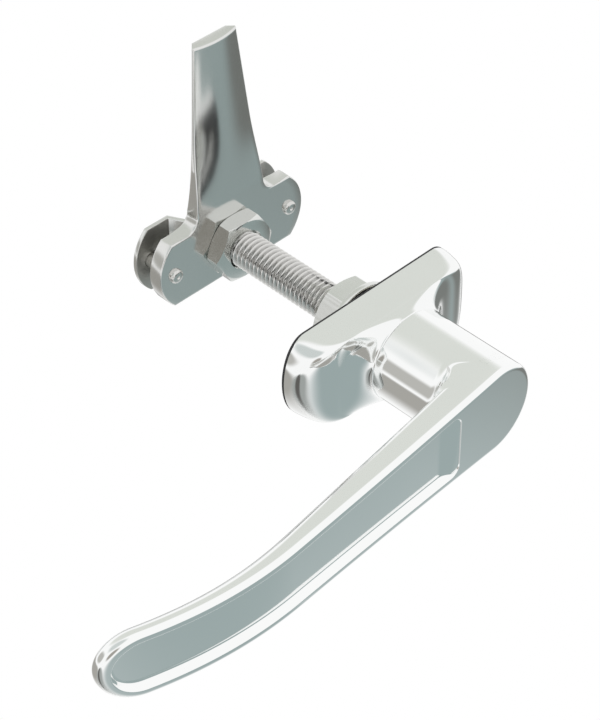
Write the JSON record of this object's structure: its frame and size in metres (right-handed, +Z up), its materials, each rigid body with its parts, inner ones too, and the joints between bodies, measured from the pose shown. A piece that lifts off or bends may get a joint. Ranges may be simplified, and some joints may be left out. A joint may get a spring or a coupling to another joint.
{
  "type": "l-handle cam latch",
  "caption": "Chromed L-handle compression latch with a neck escutcheon, a threaded spindle and a rod cam with a tongue clamped between nuts.",
  "frame": {"origin": "on the spindle axis at the gasket's back face, which lies on the door", "axes": "+Y along the spindle into the door, +Z up towards the cam's tongue, the grip points along -X"},
  "size_m": [0.1495, 0.1099, 0.0732],
  "materials": {
    "handle_chrome": "polished",
    "escutcheon_chrome": "polished",
    "gasket_rubber": "matte",
    "bearing_polymer": "matte",
    "spindle_steel": "bright zinc plated",
    "nut_steel": "bright zinc plated",
    "cam_nickel": "polished"
  },
  "bodies": {
    "escutcheon": {"escutcheon": "escutcheon_chrome", "gasket": "gasket_rubber", "neck_bush": "bearing_polymer", "thrust_washer": "bearing_polymer", "slide_washer": "bearing_polymer"},
    "handle": {"handle": "handle_chrome", "spindle": "spindle_steel", "spindle_pin": "spindle_steel", "neck_seal": "gasket_rubber", "spring_washer": "spindle_steel", "retaining_washer": "nut_steel", "retaining_nut": "nut_steel"},
    "cam": {"cam_plate": "cam_nickel", "rear_strap": "cam_nickel", "rod_pins": "spindle_steel", "jam_nut": "nut_steel", "rear_nut": "nut_steel"}
  },
  "joints": [
    {"name": "handle_turn", "type": "hinge", "parent": "escutcheon", "child": "handle", "pos_m": [0, 0, 0], "axis": [0, -1, 0], "range_deg": [0, 90]},
    {"name": "grip_adjust", "type": "slide", "parent": "handle", "child": "cam", "axis": [0, 1, 0], "range_m": [-0.02, 0]}
  ]
}
